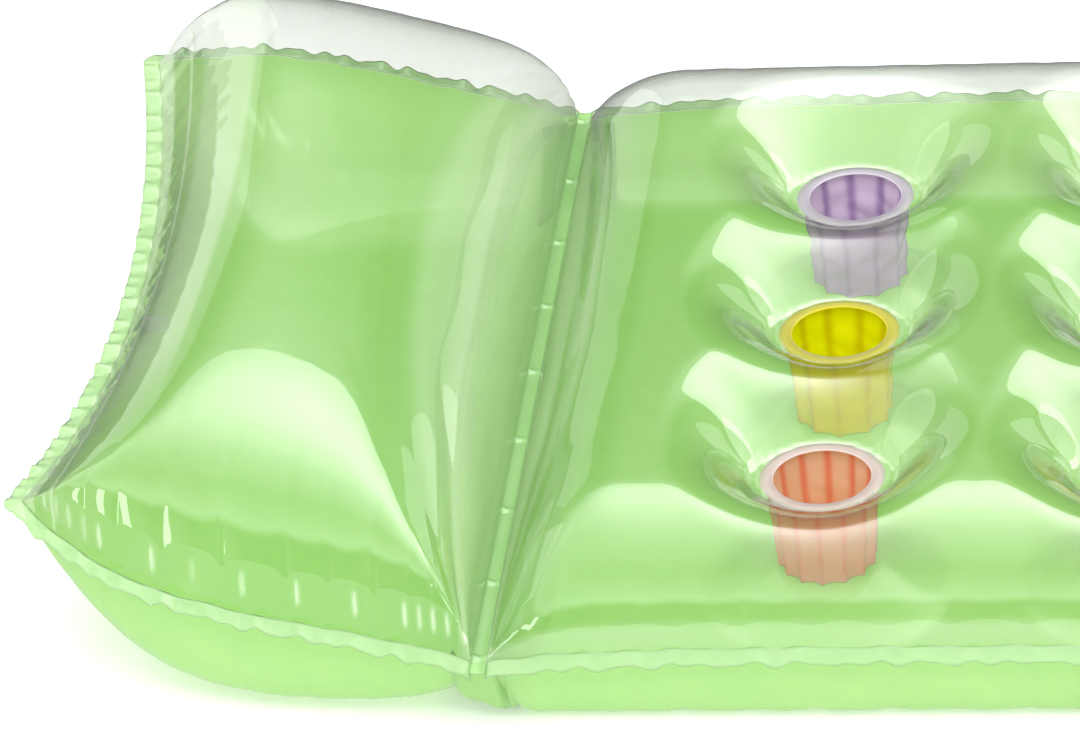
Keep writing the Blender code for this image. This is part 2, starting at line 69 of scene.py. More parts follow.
# Main chamber
MAIN_SEAM_Z = 0.065
SIDE_TUBE_WIDTH = 0.098
FOLD_TUBE_WIDTH = 0.080
FOOT_TUBE_WIDTH = 0.049
BELLY_EDGE_WIDTH = 0.028
SEAM_SETTLE_LENGTH = 0.060
FOOT_CORNER_DRAW = 0.024
FOOT_HOLLOW = 0.010
DIMPLE_REACH_X = 0.104
DIMPLE_REACH_Y = 0.139
DIMPLE_LIP = 0.007
DIMPLE_RIPPLE = 0.006
DIMPLE_POWER = 1.04
BELLY_LIFT_RADIUS = 0.085
SIDE_WAVE_FADE = 0.020

# Pillow chamber
PILLOW_LENGTH = 0.260
PILLOW_HEAD_HALF_WIDTH = 0.285
HEAD_HOLLOW = 0.028
HEAD_SEAM_Z = 0.118
CORNER_LIFT = 0.024
PILLOW_RISE = 0.116
PILLOW_NEAR_HIP = 0.154
PILLOW_FAR_HIP = 0.205
PILLOW_CREST_Y = 0.070
PILLOW_CREST_BEND = 0.055
FAR_SEAM_LIFT = 0.012
PILLOW_DROP = 0.130
PILLOW_BELLY_WIDTH = 0.105
PILLOW_TAPER_POWER = 4.5
CORNER_LIFT_POWER = 6.0
PILLOW_SEAM_POWER = 0.75
PILLOW_ARCH_POWER = 0.40

# Fold: folds beside the weld, and the gathered film under its ends
FOLD_MARGIN = 0.0015
MAIN_FAN_WIDTH = 0.042
MAIN_FAN_DEPTH = 0.0019
PILLOW_FAN_WIDTH = 0.050
PILLOW_FAN_DEPTH = 0.0024
WELD_COLUMNS = 9
PINCH_GAP = 0.085
PINCH_HEIGHT = 0.0012
PINCH_WIDTH = 0.0018
GUSSET_LEFT = -0.030
GUSSET_RIGHT = 0.022
GUSSET_COLUMNS = 41
GUSSET_LEVELS = 31
GUSSET_SLIT = 0.0065
GUSSET_PLEAT = 0.0022

# Puckers along the seams: how far they stand out for each metre between creases
MAIN_TOP_PUCKER = 0.055
MAIN_BOTTOM_PUCKER = 0.050
PILLOW_TOP_PUCKER = 0.100
PILLOW_BOTTOM_PUCKER = 0.080
FAR_SIDE_SHARE = 0.5
PILLOW_NEAR_SHARE = 0.9
HEAD_SHARE = 0.04
HEAD_PUCKER_REACH = 0.15

# Cups
CUP_HOLE_RADIUS = 0.0318
CUP_FLANGE_RADIUS = 0.0405
CUP_TOP_RADIUS = 0.0370
CUP_FLOOR_RADIUS = 0.0330
CUP_WALL = 0.0005
CUP_RIM_LAP = 0.0008
CUP_FLANGE_THICKNESS = 0.0006


def node_box(name):
    low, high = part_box(name)
    return np.array(low), np.array(high)


# Places read from the frame
STRIP_LOW, STRIP_HIGH = node_box("fold_weld_strip")
TOP_PANELS = [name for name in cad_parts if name.startswith("main_top_")]
TOP_HIGH = np.max([node_box(name)[1] for name in TOP_PANELS], axis=0)
FOLD_X = (STRIP_LOW[0] + STRIP_HIGH[0]) / 2
FOLD_Z = (STRIP_LOW[2] + STRIP_HIGH[2]) / 2
FOLD_EDGE = (STRIP_HIGH[0] - STRIP_LOW[0]) / 2 + GAP
FOOT_X = TOP_HIGH[0] - SEAM_MARGIN
HALF_WIDTH = TOP_HIGH[1] - SEAM_MARGIN
MAIN_CREST_Z = TOP_HIGH[2]
CUP_NAMES = sorted(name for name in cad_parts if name.startswith("pocket_cup"))
CUP_BOXES = {name: node_box(name) for name in CUP_NAMES}
CUP_PLACES = {name: (low + high) / 2 for name, (low, high) in CUP_BOXES.items()}
CUP_CENTRES = np.array([CUP_PLACES[name][:2] for name in CUP_NAMES])
CUP_FLOOR_Z = min(low[2] for low, _ in CUP_BOXES.values())
CUP_RIM_Z = max(high[2] for _, high in CUP_BOXES.values()) + GAP + FILM
BASE_SHEET_Z = CUP_FLOOR_Z - GAP - FILM
COLUMNS = sorted({round(float(x), 5) for x, _ in CUP_CENTRES})
ROWS = sorted({round(float(y), 5) for _, y in CUP_CENTRES})
PITCH_X = COLUMNS[1] - COLUMNS[0]
PITCH_Y = ROWS[1] - ROWS[0]
CELLS_START_X = COLUMNS[0] - PITCH_X / 2
CELLS_END_X = COLUMNS[-1] + PITCH_X / 2
CELLS_SIDE_Y = ROWS[-1] + PITCH_Y / 2
MAIN_START_X = FOLD_X + FOLD_EDGE + FOLD_MARGIN
PILLOW_START_X = FOLD_X - FOLD_EDGE - FOLD_MARGIN


# Shared curves
def quarter_arch(distance, width):
    left = 1 - np.clip(distance / width, 0, 1)
    return np.sqrt(np.clip(1 - left * left, 0, None))


def smooth(value, low, high):
    share = np.clip((value - low) / (high - low), 0, 1)
    return share * share * (3 - 2 * share)


def least(*shares, sharpness=7.0):
    """The least of some shares of 1, with its ridges rounded off."""
    total = sum(np.clip(share, 1e-4, 1.5) ** -sharpness for share in shares)
    return np.clip(total ** (-1 / sharpness), 0, 1)


def tube_arch(distance, width, power=0.42):
    """Like quarter_arch, but steeper at the edge and slower to level out."""
    left = 1 - np.clip(distance / width, 0, 1)
    return np.clip(1 - left * left, 0, None) ** power


def rest_on_floor(z, softness=0.022):
    """Keeps a drooping film above the floor, with a soft bend where it comes to rest."""
    return (z + np.sqrt(z * z + softness * softness)) / 2 - softness * softness / (4 * 0.05)


def wobble(place, lengths, seed):
    """A slow irregular wave between about -1 and 1."""
    draw = np.random.default_rng(seed)
    total = np.zeros_like(place, dtype=float)
    for length in lengths:
        total += np.sin(place * math.tau / length + draw.uniform(0, math.tau))
    return total / len(lengths)


class Creases:
    """Pinched creases along a seam, closer together towards its gathered ends."""

    def __init__(self, length, near_gap, far_gap, wide_gap, growth, seed):
        self.at = np.linspace(0, length, 600)
        gap = np.minimum(near_gap + growth * self.at, far_gap + growth * (length - self.at))
        self.gap = np.minimum(gap, wide_gap)
        self.gap *= 1 + 0.28 * wobble(self.at, (0.11, 0.067), seed)
        step = self.at[1] - self.at[0]
        self.phase = np.concatenate([[0], np.cumsum(step / self.gap)[:-1]])

    def lobes(self, place):
        phase = np.interp(place, self.at, self.phase)
        return np.abs(np.sin(math.pi * phase)) ** 0.55 - 0.78

    def spacing(self, place):
        return np.interp(place, self.at, self.gap)


SIDE_LENGTH = FOOT_X - MAIN_START_X
PILLOW_SIDE_LENGTH = PILLOW_LENGTH + HEAD_HOLLOW
MAIN_SIDE_CREASES = {
    -1: Creases(SIDE_LENGTH, 0.010, 0.016, 0.046, 0.22, 11),
    1: Creases(SIDE_LENGTH, 0.010, 0.016, 0.031, 0.22, 12),
}
FOOT_CREASES = Creases(2 * HALF_WIDTH, 0.014, 0.014, 0.034, 0.20, 13)
PILLOW_SIDE_CREASES = {
    -1: Creases(PILLOW_SIDE_LENGTH, 0.0085, 0.011, 0.037, 0.26, 14),
    1: Creases(PILLOW_SIDE_LENGTH, 0.0085, 0.011, 0.030, 0.26, 15),
}
HEAD_CREASES = Creases(2 * HALF_WIDTH, 0.010, 0.010, 0.024, 0.20, 16)


def pucker(creases, place, distance, depth, reach=0.62):
    """How far a film stands out between its creases, at a distance in from its seam."""
    spacing = creases.spacing(place)
    fade = np.exp(-distance / (reach * spacing + 0.003)) * smooth(distance, 0, 0.005)
    return depth * spacing * creases.lobes(place) * fade


def seam_wave(place, seed):
    return 0.0011 * wobble(place, (0.027, 0.041, 0.073), seed)


# Main chamber surfaces
def main_seam_z(x):
    settle = 1 - np.exp(-np.clip(x - FOLD_X, 0, None) / SEAM_SETTLE_LENGTH)
    return FOLD_Z + (MAIN_SEAM_Z - FOLD_Z) * settle


def side_wave(x, y):
    """Up and down waves of the side seams, dying away into the films."""
    inward = HALF_WIDTH - np.abs(y)
    wave = np.where(y < 0, seam_wave(x, 21), seam_wave(x, 22))
    return wave * np.exp(-np.clip(inward, 0, None) / SIDE_WAVE_FADE)


def dimple(x, y):
    """How free the top film is from the cups: 0 on a rim, 1 well away from them all."""
    free = np.ones_like(x)
    lap = CUP_FLANGE_RADIUS + CUP_RIM_LAP
    for number, (cx, cy) in enumerate(CUP_CENTRES):
        away = np.hypot(x - cx, y - cy)
        near = away < DIMPLE_REACH_Y
        angle = np.arctan2(y[near] - cy, x[near] - cx)
        level = lap + DIMPLE_LIP * np.cos(angle) ** 6
        reach = np.hypot(np.cos(angle) / DIMPLE_REACH_X, np.sin(angle) / DIMPLE_REACH_Y) ** -1
        reach = reach * (1 + 0.012 * np.sin(5 * angle + 1.7 * number))
        share = np.clip((away[near] - level) / (reach - level), 0, 1)
        ripple = DIMPLE_RIPPLE * np.sin(7 * angle + 2.1 * number) * np.exp(-share / 0.30)
        ripple = ripple * smooth(share, 0, 0.1)
        free[near] *= np.sin(share * math.pi / 2) ** DIMPLE_POWER * (1 + ripple)
    return free


def main_top_z(x, y):
    seam = main_seam_z(x) + SEAM_RISE
    side = tube_arch(HALF_WIDTH - np.abs(y), SIDE_TUBE_WIDTH)
    fold = tube_arch(x - MAIN_START_X, FOLD_TUBE_WIDTH, 0.60)
    arch = side * fold * quarter_arch(FOOT_X - x, FOOT_TUBE_WIDTH)
    tube = seam + (MAIN_CREST_Z - seam) * arch
    over = np.maximum(tube - CUP_RIM_Z, 0)
    return np.minimum(tube, CUP_RIM_Z) + over * dimple(x, y) + side_wave(x, y)


def main_bottom_z(x, y):
    seam = main_seam_z(x) - SEAM_RISE
    side = quarter_arch(HALF_WIDTH - np.abs(y), BELLY_EDGE_WIDTH)
    fold = quarter_arch(x - MAIN_START_X, BELLY_EDGE_WIDTH)
    arch = side * fold * quarter_arch(FOOT_X - x, FOOT_TUBE_WIDTH)
    lift = np.zeros_like(x)
    for cx, cy in CUP_CENTRES:
        away = np.hypot(x - cx, y - cy)
        lift = np.maximum(lift, 1 - smooth(away, CUP_FLOOR_RADIUS, BELLY_LIFT_RADIUS))
    return np.maximum(seam * (1 - arch) + side_wave(x, y), BASE_SHEET_Z * lift)


def main_plan(x, y):
    """Draws the foot corners in, and hollows the foot seam between them."""
    share = np.clip((x - CELLS_END_X) / (FOOT_X - CELLS_END_X), 0, 1)
    across = y / HALF_WIDTH
    drawn = FOOT_CORNER_DRAW * share * share * across
    hollow = FOOT_HOLLOW * share * share * (1 - np.clip(across * across, 0, 1))
    return x - hollow, y - drawn


def fold_turns(distance, y, width):
    """A distance from the cross weld, in widths of the folds there, which end in points."""
    return distance / (width * (1 - np.clip(np.abs(y) / HALF_WIDTH, 0, 1) ** 2) + 0.004)


def fold_fan(distance, y, width, seed):
    """Long folds beside the cross weld that run together at both of its ends."""
    turns = fold_turns(distance, y, width)
    wave = np.abs(np.sin(math.pi * (1.5 * turns + 0.12 * wobble(y, (0.31, 0.17), seed)))) ** 0.8
    return (wave - 0.6) * np.exp(-((turns / 1.1) ** 2)) * smooth(turns, 0, 0.18)


def main_relief(x, y, depth):
    """Puckers of a main film along its seams and the fold, out along its face."""
    inward = np.clip(HALF_WIDTH - np.abs(y), 0, None)
    total = np.zeros_like(x)
    for side, creases in MAIN_SIDE_CREASES.items():
        side_depth = depth * (1.0 if side < 0 else FAR_SIDE_SHARE)
        here = pucker(creases, x - MAIN_START_X, inward, side_depth)
        total += np.where(np.sign(y) == side, here, 0)
    total += pucker(FOOT_CREASES, y + HALF_WIDTH, FOOT_X - x, depth)
    return total + MAIN_FAN_DEPTH * fold_fan(x - MAIN_START_X, y, MAIN_FAN_WIDTH, 31)


# Pillow chamber surfaces
def pillow_plan(length, width):
    reach = PILLOW_LENGTH + HEAD_HOLLOW * width * width
    taper = (HALF_WIDTH - PILLOW_HEAD_HALF_WIDTH) * length ** PILLOW_TAPER_POWER
    return PILLOW_START_X - length * reach, width * (HALF_WIDTH - taper)


def pillow_seam_z(length, width):
    rise = (HEAD_SEAM_Z - FOLD_Z) * length ** PILLOW_SEAM_POWER
    lift = CORNER_LIFT * length ** CORNER_LIFT_POWER * width * width
    far = FAR_SEAM_LIFT * np.sin(math.pi * length ** 2.2) * smooth(width, 0, 1)
    return FOLD_Z + rise + lift + far


def pillow_arch(length, width, edge_width):
    along = np.clip(4 * length * (1 - length), 0, None) ** PILLOW_ARCH_POWER
    return along * quarter_arch((1 - np.abs(width)) * HALF_WIDTH, edge_width)


def pillow_wave(length, width):
    inward = (1 - np.abs(width)) * HALF_WIDTH
    along = length * PILLOW_LENGTH
    side = np.where(width < 0, seam_wave(along, 23), seam_wave(along, 24))
    head = seam_wave(width * HALF_WIDTH, 25)
    back = (1 - length) * PILLOW_LENGTH
    return side * np.exp(-inward / 0.02) * smooth(length, 0, 0.1) + head * np.exp(-back / 0.02)


def pillow_top_z(length, width):
    hip_width = np.where(width < 0, PILLOW_NEAR_HIP, PILLOW_FAR_HIP)
    side = tube_arch((1 - np.abs(width)) * HALF_WIDTH, hip_width, 0.36)
    fold = tube_arch(length, 0.5, 0.55)
    head = tube_arch(1 - length, 0.5, 1.0)
    crest = PILLOW_RISE - PILLOW_CREST_BEND * (width * HALF_WIDTH - PILLOW_CREST_Y) ** 2
    rise = SEAM_RISE + crest * least(side, fold, head)
    return pillow_seam_z(length, width) + rise + pillow_wave(length, width)


def pillow_bottom_z(length, width):
    arch = pillow_arch(length, width, PILLOW_BELLY_WIDTH)
    drop = SEAM_RISE + PILLOW_DROP * arch
    hung = pillow_seam_z(length, width) - drop + pillow_wave(length, width)
    return np.where(arch > 0, np.maximum(rest_on_floor(hung), 0), hung)


def pillow_relief(length, width, depth):
    inward = (1 - np.abs(width)) * HALF_WIDTH
    along = length * PILLOW_SIDE_LENGTH
    total = np.zeros_like(length)
    for side, creases in PILLOW_SIDE_CREASES.items():
        side_depth = depth * (PILLOW_NEAR_SHARE if side < 0 else FAR_SIDE_SHARE)
        here = pucker(creases, along, inward, side_depth)
        total += np.where(np.sign(width) == side, here, 0)
    head = (1 - length) * PILLOW_LENGTH
    across = (width + 1) * HALF_WIDTH
    total += pucker(HEAD_CREASES, across, head, HEAD_SHARE * depth, HEAD_PUCKER_REACH)
    fold = length * PILLOW_LENGTH
    fan = fold_fan(fold, width * HALF_WIDTH, PILLOW_FAN_WIDTH, 32)
    return total + PILLOW_FAN_DEPTH * fan


# Painted highlights and reflections on the films, laid on as pale milk: bands and lines by the
# fold and seams, rings and arcs round the cups, ticks at the near creases and bands at the head,
# and painted sheen on the bellies.
# The gathered film under the fold has an even milkiness of its own.
# Shares of milk, from 0, clear, to 1
CREASE_TICK_HIGHLIGHT = 0.45
FAN_HIGHLIGHT = 0.17
PILLOW_FAN_HIGHLIGHT = 0.20
FAN_LINE_HIGHLIGHT = 0.12
SEAM_LINE_HIGHLIGHT = 0.13
CUP_RING_HIGHLIGHT = 0.30
CUP_ARC_HIGHLIGHT = 0.15
HEAD_STRIP_HIGHLIGHT = 0.30
HEAD_BAND_HIGHLIGHT = 0.15
MAIN_BELLY_PAINTED_LIGHT = 0.14
PILLOW_BELLY_PAINTED_LIGHT = 0.13
GUSSET_HAZE = 0.12
MOST_PAINTED_HIGHLIGHT = 0.8
# Painted highlight ticks along the pillow's near seam: the place of each crease as a share of the
# side, and its strength
NEAR_CREASE_HIGHLIGHTS = ((0.01, 0.8), (0.045, 0.8), (0.075, 0.9), (0.105, 0.8), (0.137, 1.0),
                      (0.245, 1.0), (0.37, 1.0), (0.49, 0.9), (0.60, 0.4), (0.69, 1.0),
                      (0.81, 1.0), (0.845, 0.5), (0.88, 0.6), (0.91, 0.5), (0.94, 0.6))


def bump_at(place, middle, width):
    return np.exp(-(((place - middle) / width) ** 2))


def main_painted_highlights(x, y):
    # Painted highlights: pale bands and a line beside the fold weld, a line along the side seams,
    # a ring on each cup's rim and arcs to its sides
    turns = fold_turns(x - MAIN_START_X, y, MAIN_FAN_WIDTH)
    milk_and_highlight = FAN_HIGHLIGHT * (1 - smooth(turns, 0.50, 0.60))
    milk_and_highlight = milk_and_highlight + FAN_LINE_HIGHLIGHT * bump_at(turns, 0.80, 0.12)
    inward = HALF_WIDTH - np.abs(y)
    milk_and_highlight = milk_and_highlight + SEAM_LINE_HIGHLIGHT * (1 - smooth(inward, 0.0014, 0.0030))
    for cx, cy in CUP_CENTRES:
        away = np.hypot(x - cx, y - cy)
        sideways = (np.abs(x - cx) / np.maximum(away, 1e-6)) ** 5
        arcs = bump_at(away, 0.0475, 0.0013) + 0.8 * bump_at(away, 0.0550, 0.0018)
        milk_and_highlight = milk_and_highlight + CUP_RING_HIGHLIGHT * bump_at(away, 0.0413, 0.0011)
        milk_and_highlight = milk_and_highlight + CUP_ARC_HIGHLIGHT * sideways * arcs
    return milk_and_highlight


def pillow_painted_highlights(length, width):
    # Painted highlights: pale bands beside the fold weld
    turns = fold_turns(length * PILLOW_LENGTH, width * HALF_WIDTH, MAIN_FAN_WIDTH)
    milk_and_highlight = PILLOW_FAN_HIGHLIGHT * (1 - smooth(turns, 0.50, 1.4))
    milk_and_highlight = milk_and_highlight + 0.07 * bump_at(turns, 0.62, 0.16) + 0.09 * bump_at(turns, 1.20, 0.20)
    # Painted reflection and highlights by the head seam: a pale strip next to it, a thin line in
    # it, and a pale band further in
    head = (1 - length) * PILLOW_LENGTH
    band = smooth(head, 0.026, 0.034) - smooth(head, 0.066, 0.071)
    strip = 1 - smooth(head, 0.007, 0.010) + bump_at(head, 0.0205, 0.0009)
    milk_and_highlight = milk_and_highlight + HEAD_STRIP_HIGHLIGHT * strip
    milk_and_highlight = milk_and_highlight + HEAD_BAND_HIGHLIGHT * band * smooth(width, -0.8, -0.45)
    # Painted highlight ticks at the creases along the near seam
    inward = (1 + width) * HALF_WIDTH
    height = smooth(inward, 0.0001, 0.0005) - smooth(inward, 0.0012, 0.0030)
    for share, strength in NEAR_CREASE_HIGHLIGHTS:
        milk_and_highlight = milk_and_highlight + CREASE_TICK_HIGHLIGHT * strength * height * bump_at(length, share, 0.0048)
    return np.clip(milk_and_highlight, 0, MOST_PAINTED_HIGHLIGHT)


# Painted sheen: the main belly paler near its seams
def main_belly_painted_light(x, y):
    return MAIN_BELLY_PAINTED_LIGHT * (1 - smooth(HALF_WIDTH - np.abs(y), 0.020, 0.045))


# Painted sheen: the pillow's belly paler near its seams
def pillow_belly_painted_light(length, width):
    inward = (1 - np.abs(width)) * HALF_WIDTH
    return PILLOW_BELLY_PAINTED_LIGHT * (1 - smooth(inward, 0.060, 0.100))


# Mesh making
def set_values(piece, name, values):
    """Stores one number for each vertex, for the material to read."""
    layer = piece.data.attributes.new(name, "FLOAT", "POINT")
    layer.data.foreach_set("value", np.asarray(values, dtype=np.float32))


def add_piece(name, points, faces, materials, face_materials=None):
    mesh = bpy.data.meshes.new(name)
    mesh.from_pydata([tuple(point) for point in points], [], faces)
    for material in materials:
        mesh.materials.append(material)
    if face_materials is not None:
        mesh.polygons.foreach_set("material_index", face_materials)
    mesh.shade_smooth()
    mesh.update()
    piece = bpy.data.objects.new(name, mesh)
    bpy.context.scene.collection.objects.link(piece)
    return piece


def grid_faces(columns, rows, offset=0):
    faces = []
    for i in range(columns - 1):
        for j in range(rows - 1):
            a = offset + i * rows + j
            faces.append((a, a + rows, a + rows + 1, a + 1))
    return faces


def push_out(piece, distance):
    """Moves each vertex along its own normal."""
    mesh = piece.data
    count = len(mesh.vertices)
    places, normals = np.empty(count * 3), np.empty(count * 3)
    mesh.vertices.foreach_get("co", places)
    mesh.vertices.foreach_get("normal", normals)
    moved = places.reshape(-1, 3) + normals.reshape(-1, 3) * distance[:, None]
    moved[:, 2] = np.maximum(moved[:, 2], 0)
    mesh.vertices.foreach_set("co", moved.ravel())
    mesh.update()


def rounded_steps(width, count):
    """Distances from a seam, closest together where the film stands steep."""
    return [width * (1 - math.cos(math.pi / 2 * k / count)) for k in range(count)]


CELL_X_STEPS = 44
CELL_Y_STEPS = 40
RINGS = 22


def main_lines_x():
    fold = CELLS_START_X - MAIN_START_X
    lines = [MAIN_START_X + d for d in rounded_steps(fold, 34)]
    cells = len(COLUMNS) * CELL_X_STEPS
    lines += [CELLS_START_X + PITCH_X * k / CELL_X_STEPS for k in range(cells)]
    foot = [FOOT_X - d for d in rounded_steps(FOOT_X - CELLS_END_X, 34)]
    return np.array(lines + [CELLS_END_X] + foot[::-1]), 34


def main_lines_y():
    strip = HALF_WIDTH - CELLS_SIDE_Y
    side = [HALF_WIDTH - d for d in rounded_steps(strip, 26)]
    cells = len(ROWS) * CELL_Y_STEPS
    middle = [PITCH_Y * k / CELL_Y_STEPS - CELLS_SIDE_Y for k in range(cells + 1)]
    return np.array([-y for y in side] + middle + side[::-1]), 26


def cell_border(i, j, rows):
    """The numbers of a cell's border vertices, anticlockwise from its near -X corner."""
    a, b = CELL_X_STEPS, CELL_Y_STEPS
    steps = [(k, 0) for k in range(a)] + [(a, k) for k in range(b)]
    steps += [(a - k, b) for k in range(a)] + [(0, b - k) for k in range(b)]
    return [(i + p) * rows + j + q for p, q in steps]


def main_top_plan():
    """Plan points and faces of the top film, with a round hole over each cup."""
    xs, start_i = main_lines_x()
    ys, start_j = main_lines_y()
    rows = len(ys)
    plan = [(x, y) for x in xs for y in ys]
    skip, faces = set(), []
    for column, cx in enumerate(COLUMNS):
        for row, cy in enumerate(ROWS):
            i, j = start_i + column * CELL_X_STEPS, start_j + row * CELL_Y_STEPS
            skip |= {(i + a, j + b) for a in range(CELL_X_STEPS) for b in range(CELL_Y_STEPS)}
            outer = cell_border(i, j, rows)
            border = np.array([plan[number] for number in outer]) - (cx, cy)
            away = np.hypot(*border.T)[:, None]
            for ring in range(1, RINGS + 1):
                inner_radius = CUP_HOLE_RADIUS + CUP_RIM_LAP
                share = 1 - (1 - ring / RINGS) ** 1.35
                radius = away + (inner_radius - away) * share
                inner = list(range(len(plan), len(plan) + len(outer)))
                plan += [tuple(p) for p in border / away * radius + (cx, cy)]
                for k in range(len(outer)):
                    n = (k + 1) % len(outer)
                    faces.append((outer[k], outer[n], inner[n], inner[k]))
                outer = inner
    for i in range(len(xs) - 1):
        for j in range(rows - 1):
            if (i, j) not in skip:
                a = i * rows + j
                faces.append((a, a + rows, a + rows + 1, a + 1))
    used = np.unique([number for face in faces for number in face])
    new = np.full(len(plan), -1)
    new[used] = np.arange(len(used))
    return np.array(plan)[used], [tuple(int(new[n]) for n in face) for face in faces]


def main_top_film(material):
    plan, faces = main_top_plan()
    x, y = plan.T
    px, py = main_plan(x, y)
    film = add_piece("main_top_film", np.stack([px, py, main_top_z(x, y)], 1), faces, [material])
    push_out(film, main_relief(x, y, MAIN_TOP_PUCKER))
    # Painted highlights on the top film
    set_values(film, "milk_and_highlight", main_painted_highlights(x, y))
    return film


def main_bottom_film(material):
    xs, _ = main_lines_x()
    ys, _ = main_lines_y()
    x, y = (part.ravel() for part in np.meshgrid(xs, ys, indexing="ij"))
    px, py = main_plan(x, y)
    faces = [face[::-1] for face in grid_faces(len(xs), len(ys))]
    points = np.stack([px, py, main_bottom_z(x, y)], 1)
    film = add_piece("main_bottom_film", points, faces, [material])
    push_out(film, main_relief(x, y, MAIN_BOTTOM_PUCKER))
    # Painted sheen on the belly
    set_values(film, "milk_and_highlight", main_belly_painted_light(x, y))
    return film


def pillow_lines():
    half = [(1 - math.cos(math.pi * k / 240)) / 2 for k in range(241)]
    side = [0.5 * (1 - math.cos(math.pi / 2 * k / 40)) for k in range(40)]
    near = [-1 + d * 0.8 for d in side]
    middle = list(np.linspace(-0.6, 0.6, 121))
    return np.array(half), np.array(near + middle + [-w for w in near[::-1]])


def pillow_film(name, top, material):
    lengths, widths = pillow_lines()
    length, width = (part.ravel() for part in np.meshgrid(lengths, widths, indexing="ij"))
    x, y = pillow_plan(length, width)
    z = pillow_top_z(length, width) if top else pillow_bottom_z(length, width)
    faces = grid_faces(len(lengths), len(widths))
    if top:
        faces = [face[::-1] for face in faces]
    film = add_piece(name, np.stack([x, y, z], 1), faces, [material])
    depth = PILLOW_TOP_PUCKER if top else PILLOW_BOTTOM_PUCKER
    push_out(film, pillow_relief(length, width, depth))
    # Painted highlights on the top film, painted sheen on the belly
    set_values(film, "milk_and_highlight", (pillow_painted_highlights if top else pillow_belly_painted_light)(length, width))
    return film


# Materials
STRAIGHT_GLOSS = 0.045
FLAT_GLOSS = 0.75
GLOSS_POWER = 5
BODY_VARIATION = 0.1
EDGE_TINT_POWER = 2.9
# Colour of the pale milk: it paints the films' highlights and reflections, and is the gathered
# film's own even milkiness
MILK_AND_HIGHLIGHT = (0.90, 1.0, 0.80)


def new_material(name):
    material = bpy.data.materials.new(name)
    material.use_nodes = True
    material.node_tree.nodes.clear()
    return material, material.node_tree.nodes, material.node_tree.links


def map_range(nodes, links, value, low, high, to_low, to_high):
    """A node that takes a value's range from low to high on to another range."""
    node = nodes.new("ShaderNodeMapRange")
    names = ("From Min", "From Max", "To Min", "To Max")
    for name, number in zip(names, (low, high, to_low, to_high)):
        node.inputs[name].default_value = number
    links.new(value, node.inputs["Value"])
    return node.outputs["Result"]


def math_node(nodes, links, operation, a, b=None, number=None):
    """a with b, or a with a plain number."""
    node = nodes.new("ShaderNodeMath")
    node.operation = operation
    links.new(a, node.inputs[0])
    if b is not None:
        links.new(b, node.inputs[1])
    if number is not None:
        node.inputs[1].default_value = number
    return node.outputs[0]


def coloured(nodes, kind, colour):
    shader = nodes.new(kind)
    shader.inputs["Color"].default_value = (*colour, 1)
    return shader


def mixed_shaders(nodes, links, share, first, second):
    """Two shaders mixed. share is a number, or the output of a node."""
    mix = nodes.new("ShaderNodeMixShader")
    if isinstance(share, float):
        mix.inputs["Fac"].default_value = share
    else:
        links.new(share, mix.inputs["Fac"])
    links.new(first, mix.inputs[1])
    links.new(second, mix.inputs[2])
    return mix.outputs[0]


def bump_from_noise(nodes, links, scale, strength, distance):
    place = nodes.new("ShaderNodeTexCoord")
    noise = nodes.new("ShaderNodeTexNoise")
    noise.inputs["Scale"].default_value = scale
    noise.inputs["Detail"].default_value = 3
    bump = nodes.new("ShaderNodeBump")
    bump.inputs["Strength"].default_value = strength
    bump.inputs["Distance"].default_value = distance
    links.new(place.outputs["Object"], noise.inputs["Vector"])
    links.new(noise.outputs["Fac"], bump.inputs["Height"])
    return bump, noise


def flatness(nodes, links, power, normal=None):
    """0 where a face is seen straight on, rising to 1 where it is seen edge on."""
    layer = nodes.new("ShaderNodeLayerWeight")
    layer.inputs["Blend"].default_value = 0.5
    if normal is not None:
        links.new(normal, layer.inputs["Normal"])
    return math_node(nodes, links, "POWER", layer.outputs["Facing"], number=power)


def gloss_share(nodes, links, gloss, normal):
    """The share of light that a film's face reflects: more at a flat angle, from both sides."""
    flat = flatness(nodes, links, GLOSS_POWER, normal)
    straight_on, edge_on = STRAIGHT_GLOSS * gloss, min(1.0, FLAT_GLOSS * gloss)
    return map_range(nodes, links, flat, 0, 1, straight_on, edge_on)


def tinted_pass(nodes, links, tint, edge_tint):
    """Light through a film: darker where it is seen at a flat angle and so is thicker."""
    face_on = coloured(nodes, "ShaderNodeBsdfTransparent", tint).outputs[0]
    flat_on = coloured(nodes, "ShaderNodeBsdfTransparent", edge_tint).outputs[0]
    flat = flatness(nodes, links, EDGE_TINT_POWER)
    return mixed_shaders(nodes, links, flat, face_on, flat_on)


def value_of(nodes, name):
    reader = nodes.new("ShaderNodeAttribute")
    reader.attribute_name = name
    return reader.outputs["Fac"]


